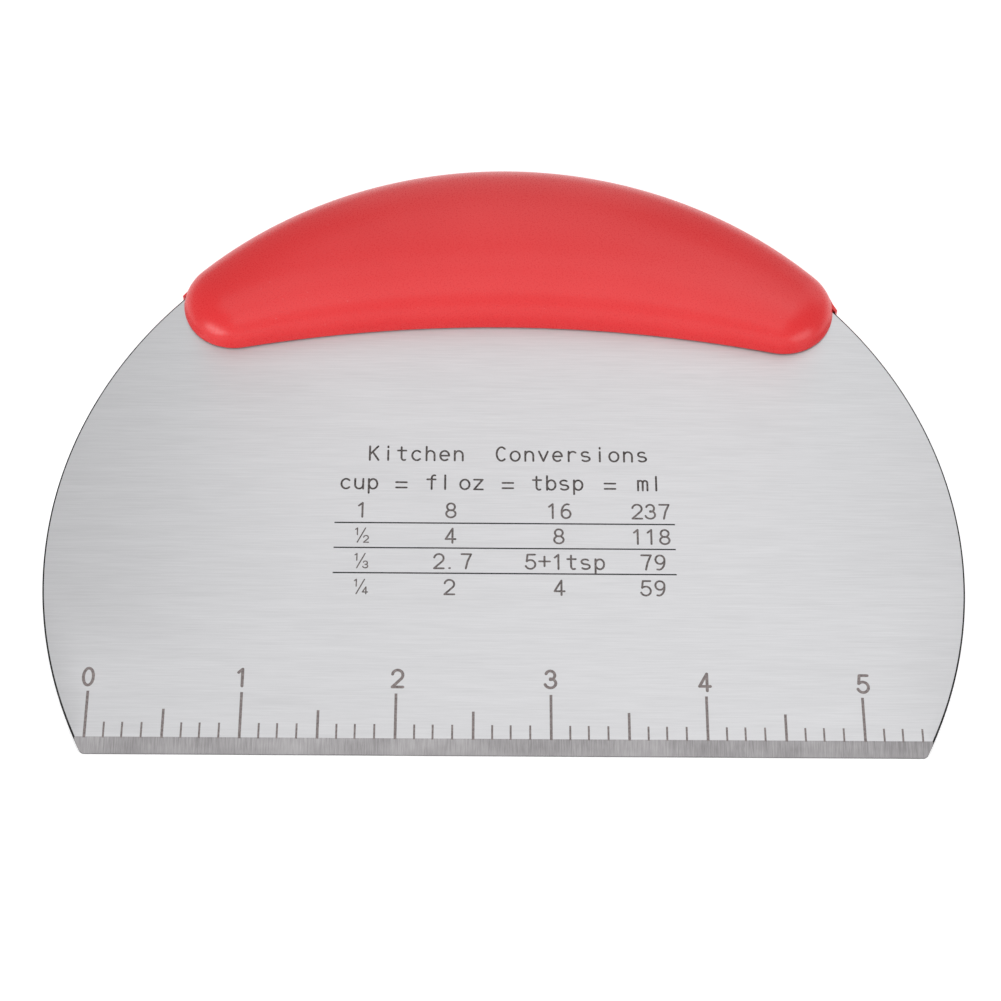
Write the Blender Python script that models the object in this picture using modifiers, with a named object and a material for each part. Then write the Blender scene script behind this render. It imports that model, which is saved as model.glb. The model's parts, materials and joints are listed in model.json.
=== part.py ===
"""Half-round bench scraper: a ground steel blade with an inch scale, and a soft grip over a riveted core.

Every piece is modelled in the plane of the blade: X across, Y up from the working edge, and Z out of the
ruled face, with Z = 0 halfway through the steel. The empty "scraper" then lays the tool down on a flat
surface, where it rests on its working edge and on the back of the grip.
"""

import math

import bmesh
import bpy
from mathutils import Vector

MM = 0.001
INCH = 25.4 * MM
GAP = 0.3 * MM  # clearance between pieces that touch on the real tool

# Blade: a disc of six inches cut off straight along the working edge
BLADE_RADIUS = 77.54 * MM
BLADE_CENTRE_Y = 36.1 * MM
BLADE_THICKNESS = 1.0 * MM
CORNER_RADIUS = 1.0 * MM
EDGE_HEIGHT = 2.68 * MM  # the ground bevel on the ruled face
EDGE_LAND = 0.3 * MM  # steel left at the very edge
FACE_Z = BLADE_THICKNESS / 2

# Engraved scale along the working edge
SCALE_START_X = -68.56 * MM
TICK_STEP = INCH / 8
TICK_COUNT = 44
TICK_SHIFTS = (0.0, -0.08 * MM, -0.25 * MM, -0.24 * MM)  # the eighths crowd the tick on their left
TICK_SPREAD = 0.00086 * MM  # and the steps widen a little from left to right
TICK_BASE_Y = EDGE_HEIGHT + 0.15 * MM
INCH_TICK = (7.85 * MM, 0.45 * MM)  # length, width
HALF_TICK = (4.7 * MM, 0.45 * MM)
EIGHTH_TICK = (2.3 * MM, 0.3 * MM)
ENGRAVING_DEPTH = 0.1 * MM

# Engraved rules of the measures table
RULE_LENGTH = 57.8 * MM
RULE_WIDTH = 0.25 * MM
RULE_HEIGHTS = (33.23 * MM, 38.07 * MM, 42.92 * MM)

# Handle: a crescent between two arcs, centred close to the blade's own centre
HANDLE_OFFSET = 0.5 * MM
HANDLE_TURN = math.radians(-0.25)  # moulded on a little out of square
TOP_RADIUS = 77.68 * MM
TOP_CENTRE_Y = 2.62 * MM  # above the blade's centre, as is the next
BOTTOM_RADIUS = 228.6 * MM
BOTTOM_CENTRE_Y = -182.0 * MM
LOBE_X = 48.48 * MM  # centre of each rounded end
HALF_DEPTH = 8.9 * MM
SECTION_POWER = 0.85  # under 1 makes the section fuller than an ellipse
SECTION_SKEW = 0.1  # moves the fattest line towards the blade
DEPTH_TAPER = 0.7  # how far the depth follows the width towards the ends
SKIN = 2.7 * MM
SCALE_WALL = 2.0 * MM

# The moulding's thin web along the blade's rim beside each lobe: its outer edge, as degrees above the
# X axis from the blade's centre and millimetres proud of the rim
FINS = {
    "right": ((40.6, 0.55), (41.7, 0.9), (43.0, 1.6), (46.0, 0.9)),
    "left": ((42.7, 0.5), (43.4, 0.6), (46.0, 0.6)),
}
FIN_DEPTH = 1.4 * MM
FIN_ROOT = 0.5 * MM  # how far it starts inside the rim, before the slot is cut

# Rivets through both scales and the blade
RIVET_X = (-33.0 * MM, 0.0, 33.0 * MM)
RIVET_NAMES = ("rivet_left", "rivet_centre", "rivet_right")
SHANK_RADIUS = 2.0 * MM
HEAD_RADIUS = 3.4 * MM
HEAD_THICKNESS = 1.1 * MM
RIVET_HALF_LENGTH = 4.0 * MM
POCKETS_X = ((-27.0 * MM, -6.0 * MM), (6.0 * MM, 27.0 * MM))

# Fineness of the meshes: rings along the body and round each lobe, and points round a ring
FINE = (36, 8, 28)
COARSE = (20, 5, 16)
POCKET_STEPS = 5
TURNED_STEPS = 20
RIM_STEPS = 108


# ---------------------------------------------------------------- scene and objects


def clear_scene():
    for obj in list(bpy.data.objects):
        bpy.data.objects.remove(obj, do_unlink=True)


def new_collection(name):
    collection = bpy.data.collections.new(name)
    bpy.context.scene.collection.children.link(collection)
    return collection


def new_material(name, colour, roughness, metallic):
    material = bpy.data.materials.new(name)
    material.use_nodes = True
    shader = material.node_tree.nodes["Principled BSDF"]
    shader.inputs["Base Color"].default_value = (*colour, 1.0)
    shader.inputs["Roughness"].default_value = roughness
    shader.inputs["Metallic"].default_value = metallic
    material.diffuse_color = (*colour, 1.0)
    return material


def new_empty(name, parent=None):
    empty = bpy.data.objects.new(name, None)
    empty.parent = parent
    PARTS.objects.link(empty)
    return empty


def add_part(name, mesh, material, parent):
    obj = bpy.data.objects.new(name, mesh)
    obj.parent = parent
    obj.data.materials.append(material)
    PARTS.objects.link(obj)
    return obj


def add_cutter(name, mesh, parent):
    """A helper that shapes a part and is no part itself."""
    obj = bpy.data.objects.new(name, mesh)
    obj.parent = parent
    obj.hide_render = True
    obj.display_type = "WIRE"
    CUTTERS.objects.link(obj)
    return obj


def combine(obj, helper, operation="DIFFERENCE"):
    boolean = obj.modifiers.new(f"{operation.lower()} {helper.name}", "BOOLEAN")
    boolean.object = helper
    boolean.operation = operation
    boolean.solver = "EXACT"


def finish_mesh(name, bm, smooth_angle=math.radians(35)):
    bmesh.ops.recalc_face_normals(bm, faces=bm.faces)
    mesh = bpy.data.meshes.new(name)
    bm.to_mesh(mesh)
    bm.free()
    mesh.shade_smooth()
    mesh.set_sharp_from_angle(angle=smooth_angle)
    return mesh


# ---------------------------------------------------------------- shapes


def boxes_mesh(name, boxes):
    """One mesh of boxes, each given as its centre and its size."""
    bm = bmesh.new()
    for centre, size in boxes:
        corners = bmesh.ops.create_cube(bm, size=1.0)["verts"]
        bmesh.ops.scale(bm, vec=Vector(size), verts=corners)
        bmesh.ops.translate(bm, vec=Vector(centre), verts=corners)
    return finish_mesh(name, bm)


def plate_mesh(name, outline, thickness):
    """A flat plate: a filled 2D curve, extruded to both sides of Z = 0 and made a closed mesh."""
    curve = bpy.data.curves.new(name, "CURVE")
    curve.dimensions = "2D"
    curve.fill_mode = "BOTH"
    curve.extrude = thickness / 2
    spline = curve.splines.new("POLY")
    spline.points.add(len(outline) - 1)
    for point, (x, y) in zip(spline.points, outline):
        point.co = (x, y, 0.0, 1.0)
    spline.use_cyclic_u = True
    guide = bpy.data.objects.new(f"{name}_outline", curve)
    bpy.context.scene.collection.objects.link(guide)
    graph = bpy.context.evaluated_depsgraph_get()
    mesh = bpy.data.meshes.new_from_object(guide.evaluated_get(graph))
    bpy.data.objects.remove(guide)
    bm = bmesh.new()
    bm.from_mesh(mesh)
    bpy.data.meshes.remove(mesh)
    bmesh.ops.remove_doubles(bm, verts=bm.verts, dist=0.001 * MM)
    return finish_mesh(name, bm)


def profile_mesh(name, profile):
    """An open chain of edges in the XZ plane, from points given as (radius, height)."""
    mesh = bpy.data.meshes.new(name)
    points = [(radius, 0.0, z) for radius, z in profile]
    mesh.from_pydata(points, [(i, i + 1) for i in range(len(points) - 1)], [])
    return mesh


def turn(obj):
    """Turns the object's profile about its Z axis. The profile runs down its outer side."""
    screw = obj.modifiers.new("turn", "SCREW")
    screw.axis = "Z"
    screw.steps = TURNED_STEPS
    screw.render_steps = TURNED_STEPS
    screw.use_merge_vertices = True
    screw.merge_threshold = 0.01 * MM
    screw.use_smooth_shade = False


def arc(centre, radius, start, end, steps):
    """Points of an arc, with both of its ends."""
    angles = [start + (end - start) * step / steps for step in range(steps + 1)]
    return [(centre[0] + radius * math.cos(a), centre[1] + radius * math.sin(a)) for a in angles]


def blade_outline():
    """The disc segment, with its two bottom corners rounded."""
    corner_x = math.sqrt((BLADE_RADIUS - CORNER_RADIUS) ** 2 - (BLADE_CENTRE_Y - CORNER_RADIUS) ** 2)
    tangent = math.atan2(CORNER_RADIUS - BLADE_CENTRE_Y, corner_x)
    right = arc((corner_x, CORNER_RADIUS), CORNER_RADIUS, -math.pi / 2, tangent, 6)
    rim = arc((0.0, BLADE_CENTRE_Y), BLADE_RADIUS, tangent, math.pi - tangent, RIM_STEPS)
    left = [(-x, y) for x, y in reversed(right)]
    return right[:-1] + rim + left[1:]


def fin_outline(side):
    """A thin band that follows the blade's rim, closed along a line just inside it."""
    centre = (0.0, BLADE_CENTRE_Y)
    edge = FINS[side]
    first, last = math.radians(edge[0][0]), math.radians(edge[-1][0])
    outer = [arc(centre, BLADE_RADIUS + proud * MM, math.radians(a), 0.0, 1)[0] for a, proud in edge]
    outline = outer + arc(centre, BLADE_RADIUS - FIN_ROOT, last, first, 4)
    if side == "right":
        return outline
    return [(-x, y) for x, y in reversed(outline)]


# ---------------------------------------------------------------- the crescent


def spine(x):
    """(height, half width) of the crescent at x: the centre and radius of the circle that touches both arcs.

    The centres lie on an ellipse whose foci are the centres of the two arcs.
    """
    half_sum = (TOP_RADIUS + BOTTOM_RADIUS) / 2
    focus = (TOP_CENTRE_Y - BOTTOM_CENTRE_Y) / 2
    middle = (TOP_CENTRE_Y + BOTTOM_CENTRE_Y) / 2
    y = middle + half_sum * math.sqrt(1 - x * x / (half_sum**2 - focus**2))
    return y, TOP_RADIUS - math.hypot(x, y - TOP_CENTRE_Y)


def touch_angles(x):
    """The directions from the spine in which the circle at x touches the top arc and the bottom arc."""
    y, _ = spine(x)
    top = math.atan2(y - TOP_CENTRE_Y, x)
    bottom = math.atan2(BOTTOM_CENTRE_Y - y, -x)
    return top, bottom


def section(x, inset, points, closing=1.0):
    """One ring of the crescent, from its bottom edge over the ruled side to the top and back.

    closing goes from 1 on the body to 0 at the tip of a rounded end, as the ring shrinks round the lobe.
    """
    y, half_width = spine(x)
    _, full_width = spine(0.0)
    depth = HALF_DEPTH * (half_width / full_width) ** DEPTH_TAPER - inset
    radius = half_width - inset
    top, bottom = touch_angles(x)
    if x < 0:
        bottom += 2 * math.pi
    tip = (top + bottom) / 2
    top_now = tip + (top - tip) * closing
    bottom_now = tip + (bottom - tip) * closing
    shrink = math.sin(abs(top - tip) * closing) / math.sin(abs(top - tip))
    high = Vector((x + radius * math.cos(top_now), y + radius * math.sin(top_now)))
    low = Vector((x + radius * math.cos(bottom_now), y + radius * math.sin(bottom_now)))
    ring = []
    for step in range(points):
        angle = 2 * math.pi * step / points
        across = (1 - math.cos(angle)) / 2
        rise = math.copysign(abs(math.sin(angle)) ** SECTION_POWER, math.sin(angle))
        bulge = rise * (1 + SECTION_SKEW * math.cos(angle))
        flat = low.lerp(high, across)
        ring.append((flat.x, flat.y, depth * shrink * bulge))
    return ring


def loft(rings):
    """Faces between rings that have the same number of points, and the first and last loops of vertices."""
    bm = bmesh.new()
    loops = [[bm.verts.new(point) for point in ring] for ring in rings]
    for near, far in zip(loops, loops[1:]):
        for i in range(len(near)):
            j = (i + 1) % len(near)
            bm.faces.new((near[i], near[j], far[j], far[i]))
    return bm, loops[0], loops[-1]


def crescent_mesh(name, inset, fineness):
    """The handle's form, inset all round, with its rounded lobes."""
    body_steps, lobe_steps, points = fineness
    closings = [1 - step / lobe_steps for step in range(1, lobe_steps)]
    rings = [section(-LOBE_X, inset, points, closing) for closing in reversed(closings)]
    rings += [section(LOBE_X * (2 * step / body_steps - 1), inset, points) for step in range(body_steps + 1)]
    rings += [section(LOBE_X, inset, points, closing) for closing in closings]
    bm, first, last = loft(rings)
    for loop, x in ((first, -LOBE_X), (last, LOBE_X)):
        tip = bm.verts.new(section(x, inset, 1, 0.0)[0])
        for vert, following in zip(loop, loop[1:] + loop[:1]):
            bm.faces.new((vert, following, tip))
    return finish_mesh(name, bm, smooth_angle=math.radians(50))


def crescent_slice_mesh(name, inset, x_from, x_to):
    """A stretch of the inset form between two flat ends."""
    points = COARSE[-1]
    positions = [x_from + (x_to - x_from) * step / POCKET_STEPS for step in range(POCKET_STEPS + 1)]
    bm, first, last = loft([section(x, inset, points) for x in positions])
    bm.faces.new(first)
    bm.faces.new(last)
    return finish_mesh(name, bm)


# ---------------------------------------------------------------- parts


def tick_size(index):
    if index % 8 == 0:
        return INCH_TICK
    return HALF_TICK if index % 4 == 0 else EIGHTH_TICK


def tick_x(index):
    from_middle = index - TICK_COUNT // 2
    return SCALE_START_X + index * TICK_STEP + TICK_SHIFTS[index % 4] + TICK_SPREAD * from_middle**2


def engraving():
    """Cutters for the ticks of the inch scale and the rules of the table."""
    depth = 2 * ENGRAVING_DEPTH
    boxes = []
    for index in range(TICK_COUNT):
        length, width = tick_size(index)
        centre = (tick_x(index), TICK_BASE_Y + length / 2, FACE_Z)
        boxes.append((centre, (width, length, depth)))
    for height in RULE_HEIGHTS:
        boxes.append(((0.0, height, FACE_Z), (RULE_LENGTH, RULE_WIDTH, depth)))
    return add_cutter("engraving", boxes_mesh("engraving", boxes), SCRAPER)


def bevel_wedge():
    """The steel that grinding takes off the ruled face along the working edge."""
    reach = 5 * MM
    drop = BLADE_THICKNESS - EDGE_LAND
    slope = drop / EDGE_HEIGHT
    profile = (
        (EDGE_HEIGHT + reach, FACE_Z + reach * slope),
        (EDGE_HEIGHT + reach, FACE_Z + reach),
        (-reach, FACE_Z + reach),
        (-reach, FACE_Z - drop - reach * slope),
    )
    bm = bmesh.new()
    face = bm.faces.new([bm.verts.new((-BLADE_RADIUS, y, z)) for y, z in profile])
    side = bmesh.ops.extrude_face_region(bm, geom=[face])["geom"]
    moved = [item for item in side if isinstance(item, bmesh.types.BMVert)]
    bmesh.ops.translate(bm, vec=(2 * BLADE_RADIUS, 0, 0), verts=moved)
    return add_cutter("bevel_wedge", finish_mesh("bevel_wedge", bm), SCRAPER)


def rivet_profile(grow=0.0, head_reach=0.0):
    """Half section of a rivet with two flat heads, or of its hole when grown and given longer heads."""
    end = RIVET_HALF_LENGTH + head_reach
    under_head = RIVET_HALF_LENGTH - HEAD_THICKNESS - grow
    head = HEAD_RADIUS + grow
    shank = SHANK_RADIUS + grow
    upper = [(0.0, end), (head, end), (head, under_head), (shank, under_head)]
    return upper + [(radius, -z) for radius, z in reversed(upper)]


def place_on_spine(obj, x):
    obj.location = (x, spine(x)[0], 0.0)


def build_blade(steel, holes):
    mesh = plate_mesh("blade", blade_outline(), BLADE_THICKNESS)
    blade = add_part("blade", mesh, steel, SCRAPER)
    combine(blade, bevel_wedge())
    combine(blade, engraving())
    for hole in holes:
        combine(blade, hole)
    return blade


def build_scales(plastic, holes):
    """The two rigid halves of the core, hollowed on the side that lies against the blade."""
    inset = SKIN + GAP
    thick = 4 * HALF_DEPTH
    slab_size = (3 * LOBE_X, 3 * TOP_RADIUS, thick)
    pockets = []
    for index, (x_from, x_to) in enumerate(POCKETS_X):
        mesh = crescent_slice_mesh(f"pocket_{index}", inset + SCALE_WALL, x_from, x_to)
        pockets.append(add_cutter(mesh.name, mesh, HANDLE))
    for name, side in (("scale_front", 1), ("scale_rear", -1)):
        scale = add_part(name, crescent_mesh(name, inset, COARSE), plastic, HANDLE)
        slab_centre = (0.0, TOP_RADIUS, side * (FACE_Z + GAP - thick / 2))
        slab = add_cutter(f"{name}_slab", boxes_mesh(f"{name}_slab", [(slab_centre, slab_size)]), HANDLE)
        combine(scale, slab)
        for cutter in pockets + holes:
            combine(scale, cutter)


def build_rivets(steel):
    for name, x in zip(RIVET_NAMES, RIVET_X):
        rivet = add_part(name, profile_mesh(name, rivet_profile()), steel, HANDLE)
        turn(rivet)
        place_on_spine(rivet, x)


def rivet_holes():
    holes = []
    for index, x in enumerate(RIVET_X):
        mesh = profile_mesh(f"rivet_hole_{index}", rivet_profile(grow=GAP, head_reach=HALF_DEPTH))
        hole = add_cutter(mesh.name, mesh, HANDLE)
        turn(hole)
        place_on_spine(hole, x)
        holes.append(hole)
    return holes


def fins():
    made = []
    for side in FINS:
        mesh = plate_mesh(f"fin_{side}", fin_outline(side), FIN_DEPTH)
        made.append(add_cutter(f"fin_{side}", mesh, SCRAPER))
    return made


def build_grip(rubber):
    """The soft skin: hollow for the core, and open where the blade passes through."""
    grip = add_part("grip", crescent_mesh("grip", 0.0, FINE), rubber, HANDLE)
    for fin in fins():
        combine(grip, fin, "UNION")
    combine(grip, add_cutter("core_space", crescent_mesh("core_space", SKIN, COARSE), HANDLE))
    outline = arc((0.0, BLADE_CENTRE_Y), BLADE_RADIUS + GAP, 0.0, 2 * math.pi, RIM_STEPS * 3 // 2)[:-1]
    slot_mesh = plate_mesh("blade_slot", outline, BLADE_THICKNESS + 2 * GAP)
    slot = add_cutter("blade_slot", slot_mesh, SCRAPER)
    combine(grip, slot)
    return grip


# ---------------------------------------------------------------- resting pose


def world_points(obj):
    graph = bpy.context.evaluated_depsgraph_get()
    evaluated = obj.evaluated_get(graph)
    return [evaluated.matrix_world @ vertex.co for vertex in evaluated.data.vertices]


def lay_down(blade, grip):
    """Turn the tool about the back of its working edge until the grip touches the surface, and centre it."""
    bpy.context.view_layer.update()
    tilt = max(math.atan2(-p.z - FACE_Z, p.y) for p in world_points(grip) if p.y > 0)
    SCRAPER.rotation_euler = (tilt, 0.0, 0.0)
    bpy.context.view_layer.update()
    points = world_points(blade) + world_points(grip)
    lows = [min(p[axis] for p in points) for axis in range(3)]
    highs = [max(p[axis] for p in points) for axis in range(3)]
    SCRAPER.location = (-(lows[0] + highs[0]) / 2, -(lows[1] + highs[1]) / 2, -lows[2])


clear_scene()
PARTS = new_collection("bench_scraper")
CUTTERS = new_collection("cutters")
CUTTERS.hide_render = True
SCRAPER = new_empty("scraper")
HANDLE = new_empty("handle", SCRAPER)
HANDLE.location = (HANDLE_OFFSET, BLADE_CENTRE_Y, 0.0)
HANDLE.rotation_euler = (0.0, 0.0, HANDLE_TURN)

STEEL = new_material("brushed_steel", (0.62, 0.62, 0.63), 0.34, 1.0)
RIVET_STEEL = new_material("rivet_steel", (0.55, 0.55, 0.56), 0.3, 1.0)
RUBBER = new_material("red_soft_touch", (0.70, 0.06, 0.065), 0.55, 0.0)
PLASTIC = new_material("white_core_plastic", (0.82, 0.81, 0.78), 0.5, 0.0)

HOLES = rivet_holes()
BLADE = build_blade(STEEL, HOLES)
build_scales(PLASTIC, HOLES)
build_rivets(RIVET_STEEL)
GRIP = build_grip(RUBBER)
lay_down(BLADE, GRIP)
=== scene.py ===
"""Looks of the half-round bench scraper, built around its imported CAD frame.

The tool's own axes are X across the blade, Y up from the working edge, and Z out of the ruled face, with
Z = 0 halfway through the steel. TOOL carries them to the row frame, where the tool lies on its back.
"""

import json
import math

import bmesh
import bpy
from mathutils import Matrix, Vector
from mathutils.geometry import delaunay_2d_cdt


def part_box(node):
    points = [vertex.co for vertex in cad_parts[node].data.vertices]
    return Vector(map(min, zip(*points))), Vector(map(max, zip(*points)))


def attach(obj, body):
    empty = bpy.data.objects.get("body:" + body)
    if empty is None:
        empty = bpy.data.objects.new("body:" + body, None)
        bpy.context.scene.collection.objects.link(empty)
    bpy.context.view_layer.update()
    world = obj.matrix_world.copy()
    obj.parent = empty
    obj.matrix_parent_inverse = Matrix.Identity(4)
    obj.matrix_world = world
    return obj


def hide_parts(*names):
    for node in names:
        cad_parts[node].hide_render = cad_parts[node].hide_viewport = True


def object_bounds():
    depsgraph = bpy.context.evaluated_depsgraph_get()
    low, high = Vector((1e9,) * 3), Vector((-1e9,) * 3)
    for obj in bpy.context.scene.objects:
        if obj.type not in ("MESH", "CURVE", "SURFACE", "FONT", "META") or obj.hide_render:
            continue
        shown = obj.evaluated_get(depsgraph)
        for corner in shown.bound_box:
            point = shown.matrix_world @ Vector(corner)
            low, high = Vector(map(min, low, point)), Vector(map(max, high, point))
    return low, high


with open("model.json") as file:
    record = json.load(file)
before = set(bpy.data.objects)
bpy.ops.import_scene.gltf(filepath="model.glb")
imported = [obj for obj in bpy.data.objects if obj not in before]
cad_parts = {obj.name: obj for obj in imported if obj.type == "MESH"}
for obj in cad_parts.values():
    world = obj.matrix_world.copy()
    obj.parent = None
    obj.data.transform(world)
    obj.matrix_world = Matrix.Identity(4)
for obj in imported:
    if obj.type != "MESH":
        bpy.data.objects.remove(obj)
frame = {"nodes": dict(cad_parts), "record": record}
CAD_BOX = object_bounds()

MM = 0.001
INCH = 25.4 * MM

# Blade
BLADE_RADIUS = (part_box("blade")[1].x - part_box("blade")[0].x) / 2
BLADE_CENTRE_Y = 36.1 * MM
BLADE_THICKNESS = 1.0 * MM
FACE_Z = BLADE_THICKNESS / 2
CORNER_RADIUS = 1.0 * MM
EDGE_HEIGHT = 2.68 * MM
EDGE_LAND = 0.3 * MM
RIM_ROUND = 0.3 * MM  # how far the rim is rounded on the ruled face
BACK_ROUND = 0.1 * MM  # and on the back
ROUNDING_TURNS = tuple(math.radians(angle) for angle in (0, 22.5, 45, 67.5, 90))
RIM_STEPS = 540
CORNER_STEPS = 12
EASE = 0.002 * MM  # keeps the blade a hair inside the CAD box
MARK_DEPTH = 0.04 * MM
WELD_DISTANCE = 0.0002 * MM
BLADE_CREASE = math.radians(12)  # steeper edges are shaded sharp

# Handle, measured from the blade's centre
HANDLE_OFFSET = 0.5 * MM
HANDLE_TURN = math.radians(-0.25)
TOP_RADIUS = 77.64 * MM
TOP_CENTRE_Y = 2.62 * MM
BOTTOM_RADIUS = 228.6 * MM
BOTTOM_CENTRE_Y = -182.0 * MM
LOBE_X = 48.48 * MM
HALF_DEPTH = 8.86 * MM
SECTION_POWER = 0.85
SECTION_SKEW = 0.1
DEPTH_TAPER = 0.7
SKIN = 2.7 * MM
SLOT_GAP = 0.3 * MM  # between the blade and the lips of the grip
SLOT_END = 0.1 * MM
FIN_DEPTH = 1.4 * MM
FIN_ROOT = 0.5 * MM
FIN_STEPS = 12
SKIN_STEPS = (150, 26, 96)  # along the body, along a lobe, and round
HOLLOW_STEPS = (40, 8, 32)
GRIP_CREASE = math.radians(40)

# The web along the rim beside each lobe: its outer edge, as degrees and millimetres proud of the rim
FINS = {
    "right": ((40.6, 0.55), (41.7, 0.9), (43.0, 1.6), (46.0, 0.9)),
    "left": ((42.7, 0.5), (43.4, 0.6), (46.0, 0.6)),
}

# Rivets
RIVET_X = (-33.0 * MM, 0.0, 33.0 * MM)
RIVET_HOLE_RADIUS = 2.3 * MM
HOLE_STEPS = 48


# ---------------------------------------------------------------- frame


def tool_matrix():
    """Where the tool's own axes lie in the row frame, from the mounts on its face and on its edge."""
    mounts = {mount["name"]: mount for mount in frame["record"]["mounts"]}
    normal = Vector(mounts["ruled_face"]["axis"]).normalized()
    edge = Vector(mounts["working_edge"]["pos_m"])
    land_middle = -FACE_Z + EDGE_LAND / 2
    origin = edge - normal * land_middle
    tilt = math.atan2(-normal.y, normal.z)
    return Matrix.Translation(origin) @ Matrix.Rotation(tilt, 4, "X")


TOOL = tool_matrix()
HANDLE = Matrix.Translation((HANDLE_OFFSET, BLADE_CENTRE_Y, 0.0)) @ Matrix.Rotation(HANDLE_TURN, 4, "Z")


# ---------------------------------------------------------------- outlines


def arc(centre, radius, start, end, steps):
    angles = [start + (end - start) * step / steps for step in range(steps + 1)]
    return [(centre[0] + radius * math.cos(a), centre[1] + radius * math.sin(a)) for a in angles]


def circle(centre, radius, steps):
    return arc(centre, radius, 0.0, 2 * math.pi, steps)[:-1]


def blade_outline(inset):
    """The disc segment with rounded corners, moved in by inset, from the right end of its edge."""
    corner_x = math.sqrt((BLADE_RADIUS - CORNER_RADIUS) ** 2 - (BLADE_CENTRE_Y - CORNER_RADIUS) ** 2)
    tangent = math.atan2(CORNER_RADIUS - BLADE_CENTRE_Y, corner_x)
    right = arc((corner_x, CORNER_RADIUS), CORNER_RADIUS - inset, -math.pi / 2, tangent, CORNER_STEPS)
    rim = arc((0.0, BLADE_CENTRE_Y), BLADE_RADIUS - inset, tangent, math.pi - tangent, RIM_STEPS)
    left = [(-x, y) for x, y in reversed(right)]
    return right[:-1] + rim + left[1:]


def fin_outline(side):
    """A thin band that follows the blade's rim, closed along a line just inside it."""
    centre = (0.0, BLADE_CENTRE_Y)
    edge = FINS[side]
    first, last = math.radians(edge[0][0]), math.radians(edge[-1][0])
    outer = [arc(centre, BLADE_RADIUS + proud * MM, math.radians(a), 0.0, 1)[0] for a, proud in edge]
    outline = outer + arc(centre, BLADE_RADIUS - FIN_ROOT, last, first, FIN_STEPS)
    if side == "right":
        return outline
    return [(-x, y) for x, y in reversed(outline)]


# ---------------------------------------------------------------- lettering
# A plain stroke alphabet. A letter's box is one unit wide; y is 0 at the baseline, 1 at the height of
# capitals and figures, X_HEIGHT at the height of small letters.

X_HEIGHT = 0.7
ARC_STEP = math.radians(18)
SHARP_TURN = math.radians(40)


def bow(cx, cy, rx, ry, start_deg, end_deg):
    """Points round an ellipse, anticlockwise where end is larger than start."""
    start, end = math.radians(start_deg), math.radians(end_deg)
    steps = max(2, round(abs(end - start) / ARC_STEP))
    angles = [start + (end - start) * step / steps for step in range(steps + 1)]
    return [(cx + rx * math.cos(a), cy + ry * math.sin(a)) for a in angles]


def figure_strokes():
    one = [[(0.18, 0.8), (0.52, 1.0), (0.52, 0.0)]]
    two = [bow(0.5, 0.7, 0.44, 0.3, 170, -40) + [(0.06, 0.0), (0.96, 0.0)]]
    three = [bow(0.46, 0.74, 0.38, 0.26, 160, -90), bow(0.46, 0.27, 0.46, 0.27, 90, -165)]
    five = [[(0.88, 1.0), (0.2, 1.0), (0.12, 0.52)] + bow(0.46, 0.31, 0.46, 0.31, 125, -160)]
    loop = 0.3
    six = [
        bow(0.5, loop, 0.42, loop, 90, 450),
        bow(0.62, 0.42, 0.54, 0.58, 75, 185),
    ]
    nine = [[(1 - x, 1 - y) for x, y in stroke] for stroke in six]
    eight = [bow(0.5, 0.75, 0.37, 0.25, 90, 450), bow(0.5, 0.26, 0.44, 0.26, 90, 450)]
    return {
        "0": [bow(0.5, 0.5, 0.42, 0.5, 90, 450)],
        "1": one,
        "2": two,
        "3": three,
        "4": [[(0.96, 0.26), (0.04, 0.26), (0.68, 1.0), (0.68, 0.0)]],
        "5": five,
        "6": six,
        "7": [[(0.06, 1.0), (0.94, 1.0), (0.62, 0.5), (0.46, 0.0)]],
        "8": eight,
        "9": nine,
    }


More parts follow.
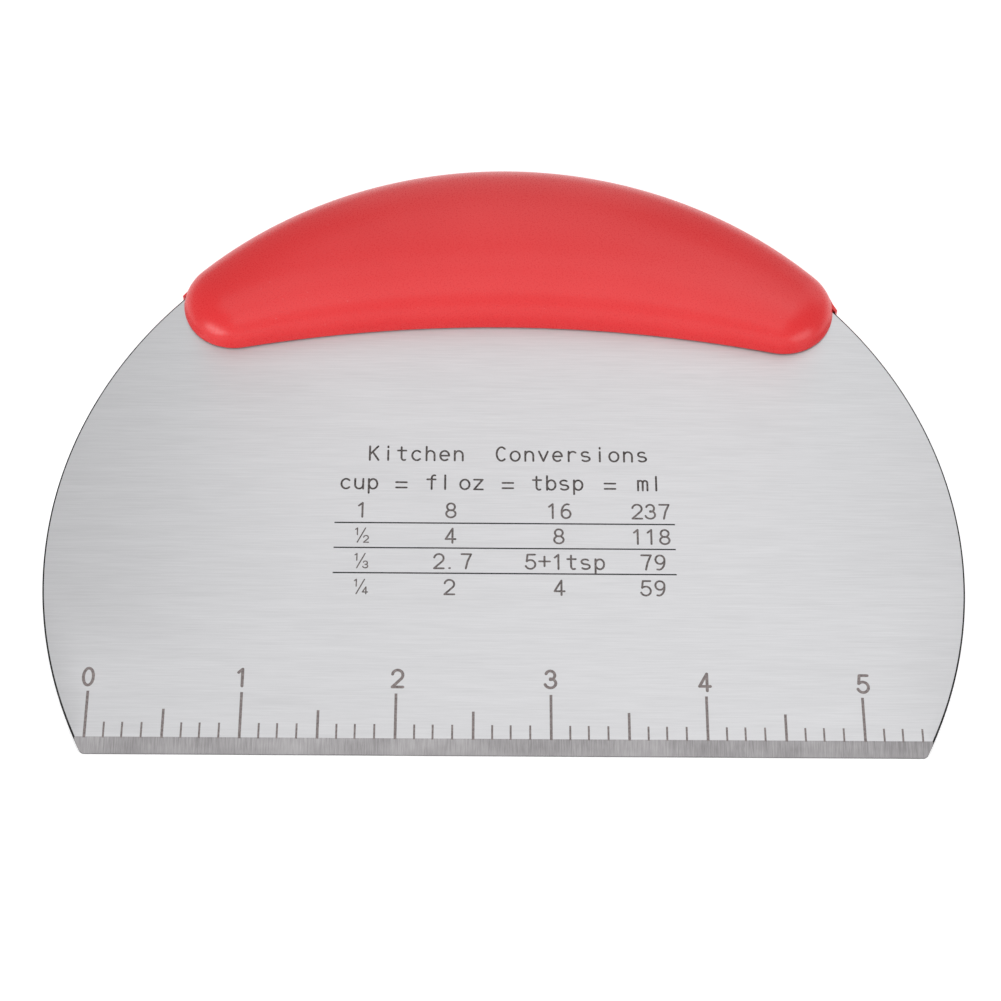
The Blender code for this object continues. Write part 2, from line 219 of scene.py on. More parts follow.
def letter_strokes():
    x = X_HEIGHT
    mid = x / 2
    round_letter = bow(0.5, mid, 0.44, mid, 0, 360)
    arch = [(0.12, 0.0), (0.12, x)], bow(0.5, x - 0.3, 0.38, 0.3, 180, 0) + [(0.88, 0.0)]
    bowl_right = bow(0.54, mid, 0.4, mid, 180, 540)
    hook = bow(0.46, mid + 0.17, 0.34, 0.17, 40, 265) + bow(0.5, mid - 0.17, 0.38, 0.17, 85, -145)
    cross = [(0.08, x), (0.86, x)]
    letters = {
        "K": [[(0.1, 1.0), (0.1, 0.0)], [(0.88, 1.0), (0.1, 0.4)], [(0.36, 0.6), (0.92, 0.0)]],
        "C": [bow(0.54, 0.5, 0.46, 0.5, 48, 312)],
        "b": [[(0.14, 1.0), (0.14, 0.0)], bowl_right],
        "c": [bow(0.54, mid, 0.44, mid, 45, 315)],
        "e": [[(0.1, mid), (0.92, mid)], bow(0.5, mid, 0.42, mid, 0, 310)],
        "f": [bow(0.74, 0.8, 0.24, 0.2, 70, 180) + [(0.5, 0.0)], cross],
        "h": [[(0.12, 1.0), (0.12, 0.0)], arch[1]],
        "i": [[(0.5, x), (0.5, 0.0)], [(0.5, 0.93), (0.5, 1.0)]],
        "l": [[(0.5, 1.0), (0.5, 0.0)]],
        "m": [
            [(0.06, 0.0), (0.06, x)],
            bow(0.28, x - 0.16, 0.22, 0.16, 180, 0) + [(0.5, 0.0)],
            bow(0.72, x - 0.16, 0.22, 0.16, 180, 0) + [(0.94, 0.0)],
        ],
        "n": [*arch],
        "o": [round_letter],
        "p": [[(0.14, x), (0.14, -0.3)], bowl_right],
        "r": [[(0.22, x), (0.22, 0.0)], bow(0.62, x - 0.3, 0.4, 0.3, 180, 50)],
        "s": [hook],
        "t": [[(0.42, 0.95)] + bow(0.66, 0.2, 0.24, 0.2, 180, 300), cross],
        "u": [[(0.12, x)] + bow(0.5, 0.28, 0.38, 0.28, 180, 360) + [(0.88, x)], [(0.88, 0.3), (0.88, 0.0)]],
        "v": [[(0.08, x), (0.5, 0.0), (0.92, x)]],
        "z": [[(0.1, x), (0.9, x), (0.1, 0.0), (0.92, 0.0)]],
        "=": [[(0.0, 0.48), (1.0, 0.48)], [(0.0, 0.1), (1.0, 0.1)]],
        "+": [[(0.0, 0.53), (1.0, 0.53)], [(0.5, 0.86), (0.5, 0.2)]],
        ".": [[(0.2, 0.02), (0.26, 0.02)]],
        "/": [[(0.16, 0.0), (0.8, 1.0)]],
    }
    return letters


GLYPHS = {**figure_strokes(), **letter_strokes()}


def stroke_polygon(points, width):
    """The outline of a stroke with round ends, as one polygon."""
    half = width / 2
    lefts, rights = [], []
    for i, point in enumerate(points):
        before = (point - points[i - 1]).normalized() if i else None
        after = (points[i + 1] - point).normalized() if i + 1 < len(points) else None
        first, second = before or after, after or before
        direction = (first + second).normalized()
        side = Vector((-direction.y, direction.x))
        stretch = 1 / max(0.55, first.dot(direction))
        lefts.append(point + side * half * stretch)
        rights.append(point - side * half * stretch)
    caps = []
    for point, towards in ((points[-1], points[-1] - points[-2]), (points[0], points[0] - points[1])):
        heading = math.atan2(towards.y, towards.x)
        turns = [heading + math.pi / 2 - math.pi * step / 6 for step in range(1, 6)]
        caps.append([point + Vector((half * math.cos(a), half * math.sin(a))) for a in turns])
    clockwise = lefts + caps[0] + rights[::-1] + caps[1]
    return [tuple(p) for p in reversed(clockwise)]


def stroke_polygons(points, width):
    """A stroke as polygons that don't fold over themselves.

    It is parted at its corners, and a closed loop is parted in the middle.
    """
    points = [Vector(point) for point in points]
    if (points[0] - points[-1]).length < width / 4:
        half = len(points) // 2
        runs = [points[: half + 1], points[half:]]
    else:
        corners = [
            i
            for i in range(1, len(points) - 1)
            if (points[i] - points[i - 1]).angle(points[i + 1] - points[i]) > SHARP_TURN
        ]
        ends = [0, *corners, len(points) - 1]
        runs = [points[start : end + 1] for start, end in zip(ends, ends[1:])]
    return [stroke_polygon(run, width) for run in runs]


def letter(character, centre_x, baseline, size, width):
    """Polygons of one character. size is the width and the height of its box."""
    polygons = []
    for stroke in GLYPHS[character]:
        placed = [(centre_x + (x - 0.5) * size[0], baseline + y * size[1]) for x, y in stroke]
        polygons += stroke_polygons(placed, width)
    return polygons


def text(words, centre_x, baseline, pitch, size, width):
    """Polygons of a line of evenly pitched characters, centred on centre_x."""
    first = centre_x - pitch * (len(words) - 1) / 2
    polygons = []
    for index, character in enumerate(words):
        if character != " ":
            polygons += letter(character, first + index * pitch, baseline, size, width)
    return polygons


# ---------------------------------------------------------------- scale and table

SCALE_START_X = -68.56 * MM
SCALE_SLOPE = -0.0035  # the engraving isn't quite true to the edge
TICK_COUNT = 44
TICK_SHIFTS = (0.0, -0.08 * MM, -0.25 * MM, -0.24 * MM)
TICK_SPREAD = 0.00086 * MM
TICK_TOP = {"inch": 10.68 * MM, "half": 7.53 * MM, "eighth": 5.12 * MM}
TICK_WIDTH = {"inch": 0.46 * MM, "half": 0.44 * MM, "eighth": 0.32 * MM}
TICK_FOOT = EDGE_HEIGHT - 0.5 * MM  # inside the bevel, whose grinding cuts the lower ends off
FIGURE_SIZE = (1.95 * MM, 3.1 * MM)  # width and height
FIGURE_BASELINE = 11.93 * MM
FIGURE_STROKE = 0.5 * MM
# How far each figure of the scale stands off its place over the mark, in millimetres across and up
FIGURE_SHIFTS = ((-0.11, 0.0), (-0.05, 0.0), (0.2, 0.0), (0.0, 0.0), (-0.16, -0.36), (0.3, -0.5))

PRINT_STROKE = 0.35 * MM
PRINT_SIZE = (1.81 * MM, 2.75 * MM)
PRINT_PITCH = 2.31 * MM
TITLE = "Kitchen  Conversions"
TITLE_PITCH = 2.43 * MM
TITLE_PLACE = (0.63 * MM, 55.33 * MM)
HEADER_BASELINE = 49.6 * MM
HEADER = (
    ("cup", -24.87 * MM),
    ("=", -17.64 * MM),
    ("fl", -11.31 * MM),
    ("oz", -5.62 * MM),
    ("=", 0.58 * MM),
    ("tbsp", 9.1 * MM),
    ("=", 18.07 * MM),
    ("ml", 24.84 * MM),
)
ROW_BASELINE = 44.04 * MM
ROW_PITCH = 4.94 * MM
ROWS = (
    (("1", -24.2 * MM), ("8", -9.11 * MM), ("16", 9.34 * MM), ("237", 24.9 * MM)),
    (("1/2", -24.17 * MM), ("4", -9.12 * MM), ("8", 9.22 * MM), ("118", 24.86 * MM)),
    (("1/3", -24.13 * MM), ("2.7", -8.73 * MM), ("5+1tsp", 10.22 * MM), ("79", 25.07 * MM)),
    (("1/4", -24.09 * MM), ("2", -9.22 * MM), ("4", 9.24 * MM), ("59", 24.93 * MM)),
)
FRACTION_SIZE = (0.9 * MM, 1.3 * MM)  # of each small figure
FRACTION_STROKE = 0.22 * MM
FRACTION_REACH = 0.75 * MM  # from the middle of the stroke to the middle of each figure
FRACTION_RISE = 1.45 * MM
FRACTION_LINE = (2.1 * MM, 2.75 * MM)
RULE_Y = 42.92 * MM
RULE_PITCH = 4.845 * MM
RULE_ENDS = (-28.85 * MM, 28.97 * MM)
RULE_WIDTH = 0.26 * MM


def tick_x(index):
    """The eighths crowd the tick on their left, and the steps widen a little from left to right."""
    from_middle = index - TICK_COUNT // 2
    return SCALE_START_X + index * INCH / 8 + TICK_SHIFTS[index % 4] + TICK_SPREAD * from_middle**2


def scale_marks():
    polygons = []
    for index in range(TICK_COUNT):
        kind = "inch" if index % 8 == 0 else "half" if index % 4 == 0 else "eighth"
        x = tick_x(index)
        half = TICK_WIDTH[kind] / 2
        high = TICK_TOP[kind] + x * SCALE_SLOPE
        polygons.append([(x - half, TICK_FOOT), (x + half, TICK_FOOT), (x + half, high), (x - half, high)])
        if kind == "inch":
            figure = index // 8
            across, up = (shift * MM for shift in FIGURE_SHIFTS[figure])
            polygons += letter(str(figure), x + across, FIGURE_BASELINE + up, FIGURE_SIZE, FIGURE_STROKE)
    return polygons


def fraction(words, centre_x, baseline):
    """A small fraction: the first figure raised, a stroke, and the second figure low."""
    left, right = centre_x - FRACTION_REACH, centre_x + FRACTION_REACH
    polygons = letter(words[0], left, baseline + FRACTION_RISE, FRACTION_SIZE, FRACTION_STROKE)
    polygons += letter("/", centre_x, baseline, FRACTION_LINE, FRACTION_STROKE)
    return polygons + letter(words[-1], right, baseline, FRACTION_SIZE, FRACTION_STROKE)


def heading_marks():
    polygons = text(TITLE, *TITLE_PLACE, TITLE_PITCH, PRINT_SIZE, PRINT_STROKE)
    for words, centre_x in HEADER:
        polygons += text(words, centre_x, HEADER_BASELINE, PRINT_PITCH, PRINT_SIZE, PRINT_STROKE)
    return polygons


def row_marks():
    polygons = []
    for row, cells in enumerate(ROWS):
        baseline = ROW_BASELINE - row * ROW_PITCH
        for words, centre_x in cells:
            if "/" in words:
                polygons += fraction(words, centre_x, baseline)
            else:
                polygons += text(words, centre_x, baseline, PRINT_PITCH, PRINT_SIZE, PRINT_STROKE)
    return polygons


def rule_marks():
    polygons = []
    left, right = RULE_ENDS
    for index in range(len(ROWS) - 1):
        low = RULE_Y - index * RULE_PITCH - RULE_WIDTH / 2
        high = low + RULE_WIDTH
        polygons.append([(left, low), (right, low), (right, high), (left, high)])
    return polygons


# ---------------------------------------------------------------- mesh helpers


def new_object(name, bm, materials, matrix=TOOL):
    """An object whose vertices are in the row frame; matrix carries the mesh there."""
    bmesh.ops.transform(bm, matrix=matrix, verts=bm.verts)
    mesh = bpy.data.meshes.new(name)
    bm.to_mesh(mesh)
    bm.free()
    for material in materials:
        mesh.materials.append(material)
    obj = bpy.data.objects.new(name, mesh)
    bpy.context.scene.collection.objects.link(obj)
    return obj


def triangulate(outline, holes, mark_groups):
    """Triangles of a flat outline, less its holes.

    Each comes with the number of the group of marks that it lies in, or 0.
    """
    points, faces, groups = [], [], []
    polygons = [(outline, 0)] + [(hole, None) for hole in holes]
    for number, marks in enumerate(mark_groups, start=1):
        polygons += [(mark, number) for mark in marks]
    for polygon, group in polygons:
        faces.append(list(range(len(points), len(points) + len(polygon))))
        groups.append(group)
        points += polygon
    scaled = [Vector(point) / MM for point in points]
    made, _, triangles, _, _, origins = delaunay_2d_cdt(scaled, [], faces, 1, 1e-5)
    kept = []
    for triangle, origin in zip(triangles, origins):
        within = [groups[face] for face in origin]
        if None not in within:
            kept.append((triangle, max(within)))
    return [point * MM for point in made], kept


def add_flat_face(bm, z, triangulation, upward, depth=0.0):
    """Adds a triangulated face at height z, its marks sunk by depth, with walls round them."""
    points, triangles = triangulation
    corners = {}

    def corner(index, sunk):
        if (index, sunk) not in corners:
            place = points[index]
            corners[index, sunk] = bm.verts.new((place.x, place.y, z - depth if sunk else z))
        return corners[index, sunk]

    marked_edges, plain_edges = {}, set()
    for triangle, group in triangles:
        order = triangle if upward else triangle[::-1]
        face = bm.faces.new([corner(i, group > 0) for i in order])
        face.material_index = group
        for edge in zip(order, [*order[1:], order[0]]):
            if group:
                marked_edges[edge] = group
            else:
                plain_edges.add(edge)
    for (a, b), group in marked_edges.items():
        if (b, a) in plain_edges:
            wall = bm.faces.new((corner(b, True), corner(a, True), corner(a, False), corner(b, False)))
            wall.material_index = group


def bridge(bm, lower, upper, material_index=0):
    for i in range(len(lower)):
        j = (i + 1) % len(lower)
        face = bm.faces.new((lower[i], lower[j], upper[j], upper[i]))
        face.material_index = material_index


def ring(bm, outline, z):
    return [bm.verts.new((x, y, z)) for x, y in outline]


# ---------------------------------------------------------------- blade


def rivet_places():
    return [(HANDLE @ Vector((x, spine(x)[0], 0.0))).to_2d() for x in RIVET_X]


def grind_edge(bm):
    """Cuts the bevel along the working edge and closes it with the ground face."""
    drop = BLADE_THICKNESS - EDGE_LAND
    normal = Vector((0.0, -drop, EDGE_HEIGHT)).normalized()
    geometry = bm.verts[:] + bm.edges[:] + bm.faces[:]
    place = Vector((0.0, EDGE_HEIGHT, FACE_Z))
    bmesh.ops.bisect_plane(bm, geom=geometry, dist=1e-7, plane_co=place, plane_no=normal, clear_outer=True)
    border = [edge for edge in bm.edges if edge.is_boundary]
    filled = bmesh.ops.triangle_fill(bm, use_beauty=True, use_dissolve=False, edges=border, normal=normal)
    for item in filled["geom"]:
        if isinstance(item, bmesh.types.BMFace):
            item.material_index = BLADE_SLOTS.index("bevel")


BLADE_SLOTS = ("face", "scale", "rows", "heading", "rules", "bevel", "sheared")


def build_blade(materials):
    bm = bmesh.new()
    holes = [circle(place, RIVET_HOLE_RADIUS, HOLE_STEPS) for place in rivet_places()]
    marks = [scale_marks(), row_marks(), heading_marks(), rule_marks()]
    ruled_face = triangulate(blade_outline(RIM_ROUND + EASE), holes, marks)
    back_face = triangulate(blade_outline(BACK_ROUND + EASE), holes, [])
    add_flat_face(bm, FACE_Z, ruled_face, True, MARK_DEPTH)
    add_flat_face(bm, -FACE_Z, back_face, False)
    levels = []
    for side, rounding in ((-1, BACK_ROUND), (1, RIM_ROUND)):
        for turn in ROUNDING_TURNS if side < 0 else reversed(ROUNDING_TURNS):
            inset = rounding * (1 - math.sin(turn)) + EASE
            z = side * (FACE_Z - rounding * (1 - math.cos(turn)))
            levels.append(ring(bm, blade_outline(inset), z))
    # The rim's rounding takes the sheared edge's near-black colour, which is painted shade.
    for lower, upper in zip(levels, levels[1:]):
        bridge(bm, lower, upper, BLADE_SLOTS.index("sheared"))
    for hole in holes:
        bridge(bm, ring(bm, hole[::-1], -FACE_Z), ring(bm, hole[::-1], FACE_Z))
    bmesh.ops.remove_doubles(bm, verts=bm.verts, dist=WELD_DISTANCE)
    grind_edge(bm)
    bmesh.ops.recalc_face_normals(bm, faces=bm.faces)
    brushed = bm.loops.layers.uv.new("brushed")
    for face in bm.faces:
        for loop in face.loops:
            loop[brushed].uv = loop.vert.co.xy / (2 * BLADE_RADIUS) + Vector((0.5, 0.0))
    blade = new_object("steel_blade", bm, materials)
    blade.data.shade_smooth()
    blade.data.set_sharp_from_angle(angle=BLADE_CREASE)
    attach(blade, "root")
    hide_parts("blade")
    return blade


# ---------------------------------------------------------------- grip


def spine(x):
    """Height and half width of the crescent at x: a circle there that touches both arcs."""
    half_sum = (TOP_RADIUS + BOTTOM_RADIUS) / 2
    focus = (TOP_CENTRE_Y - BOTTOM_CENTRE_Y) / 2
    middle = (TOP_CENTRE_Y + BOTTOM_CENTRE_Y) / 2
    y = middle + half_sum * math.sqrt(1 - x * x / (half_sum**2 - focus**2))
    return y, TOP_RADIUS - math.hypot(x, y - TOP_CENTRE_Y)


def section(x, inset, points, closing=1.0):
    """One ring of the crescent. closing goes from 1 on the body to 0 at the tip of a lobe."""
    y, half_width = spine(x)
    _, full_width = spine(0.0)
    depth = HALF_DEPTH * (half_width / full_width) ** DEPTH_TAPER - inset
    radius = half_width - inset
    top = math.atan2(y - TOP_CENTRE_Y, x)
    bottom = math.atan2(BOTTOM_CENTRE_Y - y, -x)
    if x < 0:
        bottom += 2 * math.pi
    tip = (top + bottom) / 2
    top_now = tip + (top - tip) * closing
    bottom_now = tip + (bottom - tip) * closing
    shrink = math.sin(abs(top - tip) * closing) / math.sin(abs(top - tip))
    high = Vector((x + radius * math.cos(top_now), y + radius * math.sin(top_now)))
    low = Vector((x + radius * math.cos(bottom_now), y + radius * math.sin(bottom_now)))
    ring_points = []
    for step in range(points):
        angle = 2 * math.pi * step / points
        rise = math.copysign(abs(math.sin(angle)) ** SECTION_POWER, math.sin(angle))
        bulge = rise * (1 + SECTION_SKEW * math.cos(angle))
        flat = low.lerp(high, (1 - math.cos(angle)) / 2)
        ring_points.append((flat.x, flat.y, depth * shrink * bulge))
    return ring_points


def crescent(inset, body_steps, lobe_steps, points):
    """The crescent less inset all round, as a closed mesh in the tool's own axes."""
    closings = [1 - step / lobe_steps for step in range(1, lobe_steps)]
    rings = [section(-LOBE_X, inset, points, closing) for closing in reversed(closings)]
    places = [LOBE_X * (2 * step / body_steps - 1) for step in range(body_steps + 1)]
    rings += [section(x, inset, points) for x in places]
    rings += [section(LOBE_X, inset, points, closing) for closing in closings]
    bm = bmesh.new()
    loops = [[bm.verts.new(point) for point in points_of] for points_of in rings]
    for near, far in zip(loops, loops[1:]):
        bridge(bm, near, far)
    for loop, x in ((loops[0], -LOBE_X), (loops[-1], LOBE_X)):
        tip = bm.verts.new(section(x, inset, 1, 0.0)[0])
        for vert, following in zip(loop, loop[1:] + loop[:1]):
            bm.faces.new((vert, following, tip))
    bmesh.ops.transform(bm, matrix=HANDLE, verts=bm.verts)
    bmesh.ops.recalc_face_normals(bm, faces=bm.faces)
    return bm


def prism(outline, thickness):
    """A plate of the outline, centred on Z = 0."""
    bm = bmesh.new()
    low, high = ring(bm, outline, -thickness / 2), ring(bm, outline, thickness / 2)
    bridge(bm, low, high)
    bm.faces.new(high)
    bm.faces.new(low[::-1])
    bmesh.ops.recalc_face_normals(bm, faces=bm.faces)
    return bm


def apply_boolean(obj, bm, operation):
    """Combines obj with a helper's mesh for good, and removes the helper."""
    helper = new_object("helper", bm, [])
    boolean = obj.modifiers.new("shape", "BOOLEAN")
    boolean.object = helper
    boolean.operation = operation
    boolean.solver = "EXACT"
    graph = bpy.context.evaluated_depsgraph_get()
    mesh = bpy.data.meshes.new_from_object(obj.evaluated_get(graph))
    obj.modifiers.clear()
    old = obj.data
    obj.data = mesh
    bpy.data.meshes.remove(old)
    bpy.data.objects.remove(helper)


def build_grip(material):
    grip = new_object("soft_grip", crescent(0.0, *SKIN_STEPS), [material])
    for side in FINS:
        apply_boolean(grip, prism(fin_outline(side), FIN_DEPTH), "UNION")
    apply_boolean(grip, crescent(SKIN, *HOLLOW_STEPS), "DIFFERENCE")
    slot = circle((0.0, BLADE_CENTRE_Y), BLADE_RADIUS + SLOT_END, RIM_STEPS)
    apply_boolean(grip, prism(slot, BLADE_THICKNESS + 2 * SLOT_GAP), "DIFFERENCE")
    grip.data.shade_smooth()
    grip.data.set_sharp_from_angle(angle=GRIP_CREASE)
    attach(grip, "root")
    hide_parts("grip")
    return grip


# ---------------------------------------------------------------- materials


class Shader:
    """A material with a Principled shader, and short calls that add and join its nodes."""

    def __init__(self, name, roughness, metallic=0.0, specular=0.5):
        self.material = bpy.data.materials.new(name)
        self.material.use_nodes = True
        self.tree = self.material.node_tree
        self.principled = self.tree.nodes["Principled BSDF"]
        self.principled.inputs["Roughness"].default_value = roughness
        self.principled.inputs["Metallic"].default_value = metallic
        self.principled.inputs["Specular IOR Level"].default_value = specular

    def node(self, kind, **values):
        made = self.tree.nodes.new(kind)
        for name, value in values.items():
            setattr(made, name, value)
        return made

    def join(self, output, target):
        self.tree.links.new(output, target)

    def place(self, scale):
        """The tool's own coordinates in millimetres, times a scale for each axis."""
        coordinates = self.node("ShaderNodeTexCoord")
        mapping = self.node("ShaderNodeMapping", vector_type="TEXTURE")
        mapping.inputs["Location"].default_value = TOOL.to_translation()
        mapping.inputs["Rotation"].default_value = TOOL.to_euler()
        mapping.inputs["Scale"].default_value = [MM / factor for factor in scale]
        self.join(coordinates.outputs["Object"], mapping.inputs["Vector"])
        return mapping.outputs["Vector"]

    def axis(self, name):
        """One of the tool's own coordinates, in millimetres."""
        separate = self.node("ShaderNodeSeparateXYZ")
        self.join(self.place((1.0, 1.0, 1.0)), separate.inputs["Vector"])
        return separate.outputs[name]

    def noise(self, scale, detail=2.0, roughness=0.5):
        """Noise whose grains are about one over scale millimetres long on each axis."""
        noise = self.node("ShaderNodeTexNoise")
        noise.inputs["Scale"].default_value = 1.0
        noise.inputs["Detail"].default_value = detail
        noise.inputs["Roughness"].default_value = roughness
        self.join(self.place(scale), noise.inputs["Vector"])
        return noise.outputs["Fac"]

    def between(self, value, low, high, to_low=0.0, to_high=1.0):
        """Maps the range low to high of a value on to another range."""
        mapped = self.node("ShaderNodeMapRange")
        limits = {"From Min": low, "From Max": high, "To Min": to_low, "To Max": to_high}
        for name, limit in limits.items():
            mapped.inputs[name].default_value = limit
        self.join(value, mapped.inputs["Value"])
        return mapped.outputs["Result"]

    def mix(self, factor, first, second):
        """A colour between two, each a colour or another node's output."""
        mixed = self.node("ShaderNodeMix", data_type="RGBA")
        sockets = [socket for socket in mixed.inputs if socket.type == "RGBA"]
        for socket, colour in zip(sockets, (first, second)):
            if isinstance(colour, tuple):
                socket.default_value = (*colour, 1.0)
            else:
                self.join(colour, socket)
        self.join(factor, mixed.inputs["Factor"])
        return next(output for output in mixed.outputs if output.type == "RGBA")

    def maths(self, operation, first, second):
        made = self.node("ShaderNodeMath", operation=operation)
        for socket, value in zip(made.inputs, (first, second)):
            if isinstance(value, (int, float)):
                socket.default_value = value
            else:
                self.join(value, socket)
        return made.outputs["Value"]

    def bump(self, height, strength, distance):
        bump = self.node("ShaderNodeBump")
        bump.inputs["Strength"].default_value = strength
        bump.inputs["Distance"].default_value = distance
        self.join(height, bump.inputs["Height"])
        self.join(bump.outputs["Normal"], self.principled.inputs["Normal"])

    def colour(self, output):
        self.join(output, self.principled.inputs["Base Color"])

    def roughness(self, output):
        self.join(output, self.principled.inputs["Roughness"])


def brushed_steel():
    """Sheet steel brushed along X, so that what it reflects is smeared along Y."""
    shader = Shader("brushed steel", roughness=0.5, metallic=1.0)
    fine = shader.noise((0.16, 4.5, 1.0), detail=3.0)
    broad = shader.noise((0.03, 0.5, 0.5), detail=2.0)
    streaks = shader.maths("ADD", shader.maths("MULTIPLY", fine, 0.7), shader.maths("MULTIPLY", broad, 0.3))
    shader.colour(shader.mix(shader.between(streaks, 0.3, 0.7), (0.638, 0.638, 0.651), (0.71, 0.71, 0.725)))
    shader.bump(streaks, strength=0.25, distance=0.01 * MM)
    tangent = shader.node("ShaderNodeTangent", direction_type="UV_MAP", uv_map="brushed")
    shader.join(tangent.outputs["Tangent"], shader.principled.inputs["Tangent"])
    shader.principled.inputs["Anisotropic"].default_value = 0.85
    shader.principled.inputs["Anisotropic Rotation"].default_value = 0.25
    return shader.material


def etched_mark(name, dark, light):
    """Steel that a laser has burnt brown and dull."""
    shader = Shader(name, roughness=0.6, metallic=0.35)
    grain = shader.noise((2.2, 2.2, 2.2), detail=4.0, roughness=0.6)
    shader.colour(shader.mix(shader.between(grain, 0.35, 0.65), dark, light))
    shader.bump(grain, strength=0.3, distance=0.01 * MM)
    return shader.material


def ground_steel():
    """The bevel, with fine scratches up and down from the grinding wheel and broad uneven patches."""
    shader = Shader("ground bevel", roughness=0.42, metallic=1.0)
    scratches = shader.noise((5.0, 0.25, 0.5), detail=4.0, roughness=0.65)
    patches = shader.noise((0.07, 0.12, 0.1), detail=3.0, roughness=0.6)
    lines, clouds = shader.maths("MULTIPLY", scratches, 0.55), shader.maths("MULTIPLY", patches, 0.45)
    tone = shader.maths("ADD", lines, clouds)
    shader.colour(shader.mix(shader.between(tone, 0.32, 0.68), (0.185, 0.176, 0.18), (0.47, 0.457, 0.465)))
    shader.roughness(shader.between(scratches, 0.3, 0.7, 0.34, 0.5))
    shader.bump(scratches, strength=0.5, distance=0.02 * MM)
    return shader.material


def sheared_steel():
    """The blanked rim and the very edge, darker with scale and oil, and painted near black as shade: the
    colour stands in for the dark reflections along the thin rim and the land.
    """
    shader = Shader("sheared edge painted shade", roughness=0.6, specular=0.1)
    tears = shader.noise((0.7, 0.7, 3.0), detail=3.0)
    # Painted shade: this near-black colour stands in for the dark reflections on the rim and the land, over
    # the edge's own darker scale.
    shader.colour(shader.mix(shader.between(tears, 0.3, 0.7), (0.008, 0.008, 0.009), (0.03, 0.029, 0.03)))
    shader.bump(tears, strength=0.3, distance=0.02 * MM)
    return shader.material


def soft_touch():
    """Red rubber with a fine grain, which is smoother where the handle is thickest."""
    shader = Shader("red soft touch", roughness=0.34, specular=0.45)
    grain = shader.noise((4.0, 4.0, 4.0), detail=2.0)
    cloud = shader.noise((0.05, 0.05, 0.05), detail=2.0)
    tone = shader.maths("ADD", shader.maths("MULTIPLY", cloud, 0.7), shader.maths("MULTIPLY", grain, 0.3))
    red = shader.mix(shader.between(tone, 0.3, 0.7), (0.665, 0.020, 0.023), (0.695, 0.027, 0.030))
    specks = shader.between(shader.noise((1.6, 1.6, 1.6), detail=1.0), 0.77, 0.83)
    shader.colour(shader.mix(specks, red, (0.74, 0.10, 0.105)))
    shader.roughness(shader.between(grain, 0.3, 0.7, 0.25, 0.33))
    height = shader.maths("ABSOLUTE", shader.axis("Z"), 0.0)
    band = shader.between(height, 4.5, 7.0, 1.0, 0.12)
    shader.bump(shader.maths("MULTIPLY", grain, band), strength=0.7, distance=0.03 * MM)
    return shader.material


def core_plastic():
    shader = Shader("core plastic", roughness=0.48)
    flow = shader.noise((0.03, 0.15, 0.15), detail=3.0)
    grain = shader.noise((3.0, 3.0, 3.0), detail=2.0)
    shader.colour(shader.mix(shader.between(flow, 0.3, 0.7), (0.76, 0.75, 0.71), (0.84, 0.83, 0.80)))
    shader.roughness(shader.between(grain, 0.3, 0.7, 0.42, 0.56))
    shader.bump(grain, strength=0.2, distance=0.02 * MM)
    return shader.material


def rivet_steel():
    shader = Shader("rivet steel", roughness=0.3, metallic=1.0)
    turned = shader.noise((0.8, 0.8, 9.0), detail=3.0)
    shader.colour(shader.mix(shader.between(turned, 0.3, 0.7), (0.50, 0.50, 0.51), (0.64, 0.64, 0.65)))
    shader.roughness(shader.between(turned, 0.3, 0.7, 0.22, 0.36))
    shader.bump(turned, strength=0.3, distance=0.01 * MM)
    return shader.material


TABLE_GLOW = 0.3
TABLE_HALF_SIZE = 6.0
WORLD_STRENGTH = 0.45


def table_top():
    """A pale table with a faint glow of its own, so that it stays white round the tool."""
    shader = Shader("pale lit table", roughness=0.9, specular=0.1)
    shader.principled.inputs["Emission Color"].default_value = (1.0, 1.0, 1.0, 1.0)
    shader.principled.inputs["Emission Strength"].default_value = TABLE_GLOW
    tone = shader.noise((0.01, 0.01, 0.01), detail=2.0)
    shader.colour(shader.mix(shader.between(tone, 0.3, 0.7), (0.955, 0.955, 0.955), (0.965, 0.965, 0.965)))
    return shader.material


def dress(node, material):
    """Gives a CAD node that stays shown a better material."""
    mesh = frame["nodes"][node].data
    mesh.materials.clear()
    mesh.materials.append(material)


# ---------------------------------------------------------------- studio


def build_floor():
    bm = bmesh.new()
    bmesh.ops.create_grid(bm, x_segments=1, y_segments=1, size=TABLE_HALF_SIZE)
    floor = new_object("table", bm, [table_top()], Matrix.Translation((0.0, 0.0, CAD_BOX[0].z)))


# Softboxes a metre away: azimuth from the working edge's side towards +X and elevation, both in degrees,
# width and height in metres, and radiance
SOFTBOXES = {
    "front_left_low": (312, 20, 0.9, 0.4, 4.75),
    "front_right_low": (48, 20, 0.9, 0.4, 2.8),
    "front_low": (0, 18, 0.55, 0.55, 0.89),
    "back_right_low": (135, 18, 0.55, 0.55, 0.61),
    "back_low": (180, 18, 0.55, 0.55, 0.4),
    "front": (0, 50, 0.55, 0.55, 0.49),
    "back_right": (135, 50, 0.55, 0.55, 0.79),
    "back": (180, 50, 0.55, 0.55, 0.76),
    "front_high": (0, 72, 0.55, 0.55, 1.13),
    "right_high": (120, 72, 0.55, 0.55, 1.21),
    "left_high": (240, 72, 0.55, 0.55, 0.94),
}
SOFTBOX_DISTANCE = 1.0


def softbox(name, azimuth, elevation, width, height, radiance):
    light = bpy.data.lights.new(name, "AREA")
    light.shape = "ELLIPSE"
    light.size = width
    light.size_y = height
    light.energy = radiance * math.pi * math.pi * width * height / 4
    obj = bpy.data.objects.new(name, light)
    turn, rise = math.radians(azimuth), math.radians(elevation)
    outward = Vector((math.sin(turn) * math.cos(rise), -math.cos(turn) * math.cos(rise), math.sin(rise)))
    obj.location = outward * SOFTBOX_DISTANCE
    obj.rotation_euler = (-outward).to_track_quat("-Z", "Y").to_euler()
    bpy.context.scene.collection.objects.link(obj)


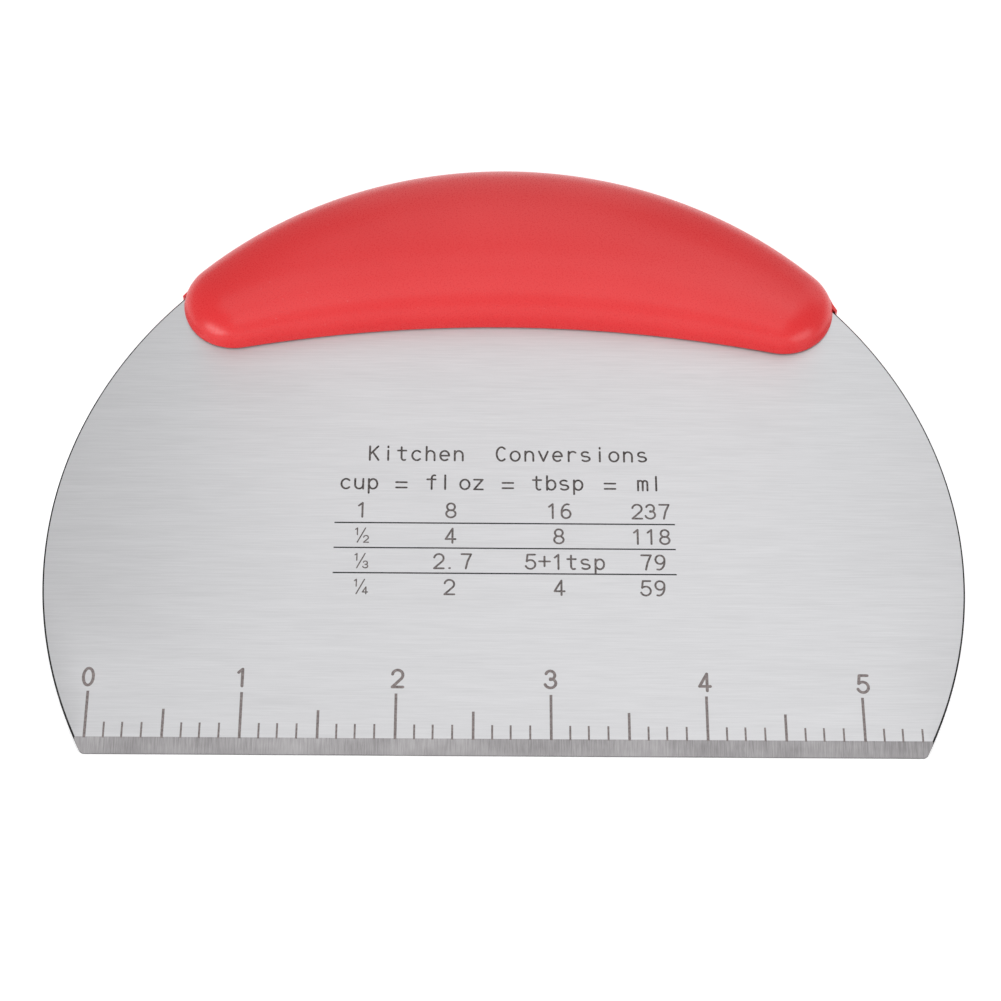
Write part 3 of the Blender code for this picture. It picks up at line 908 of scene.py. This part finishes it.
def build_lights():
    world = bpy.data.worlds.new("studio")
    bpy.context.scene.world = world
    world.use_nodes = True
    background = world.node_tree.nodes["Background"]
    background.inputs["Color"].default_value = (1.0, 1.0, 1.0, 1.0)
    background.inputs["Strength"].default_value = WORLD_STRENGTH
    for name, settings in SOFTBOXES.items():
        softbox(name, *settings)


# The camera: its aim is a point on the blade's middle plane, in the tool's own axes
CAMERA_AIM = Vector((-0.67 * MM, 47.72 * MM, 0.0))
CAMERA_DISTANCE = 459.7 * MM
CAMERA_TILT = math.radians(30.176)  # from the blade's normal towards the working edge
CAMERA_TURN = math.radians(-0.97)
CAMERA_ROLL = math.radians(0.1)
CAMERA_LENS = 96.75
CAMERA_SENSOR = 36.0


def build_camera():
    camera = bpy.data.cameras.new("camera")
    camera.lens = CAMERA_LENS
    camera.sensor_width = CAMERA_SENSOR
    camera.clip_start = 0.05
    camera.clip_end = 20.0
    obj = bpy.data.objects.new("camera", camera)
    tilted = Vector((0.0, -math.sin(CAMERA_TILT), math.cos(CAMERA_TILT)))
    back = Matrix.Rotation(CAMERA_TURN, 3, "Z") @ tilted
    up = (Vector((0.0, 1.0, 0.0)) - back * back.y).normalized()
    right = up.cross(back)
    axes = Matrix((right, up, back)).transposed().to_4x4()
    spot = Matrix.Translation(CAMERA_AIM + back * CAMERA_DISTANCE)
    obj.matrix_world = TOOL @ spot @ axes @ Matrix.Rotation(CAMERA_ROLL, 4, "Z")
    bpy.context.scene.collection.objects.link(obj)
    bpy.context.scene.camera = obj


SCALE_MARK = etched_mark("etched scale", (0.15, 0.125, 0.122), (0.29, 0.25, 0.245))
ROW_MARK = etched_mark("etched figures", (0.07, 0.06, 0.058), (0.22, 0.19, 0.185))
HEADING_MARK = etched_mark("etched heading", (0.025, 0.02, 0.02), (0.15, 0.13, 0.125))
RULE_MARK = etched_mark("etched rules", (0.012, 0.012, 0.013), (0.05, 0.05, 0.052))
MARKS = [SCALE_MARK, ROW_MARK, HEADING_MARK, RULE_MARK]
build_blade([brushed_steel(), *MARKS, ground_steel(), sheared_steel()])
build_grip(soft_touch())
CORE_PLASTIC = core_plastic()
RIVET_STEEL = rivet_steel()
for name in ("scale_front", "scale_rear"):
    dress(name, CORE_PLASTIC)
for name in ("rivet_left", "rivet_centre", "rivet_right"):
    dress(name, RIVET_STEEL)
build_floor()
build_lights()
build_camera()
bpy.context.scene.view_settings.view_transform = "Standard"
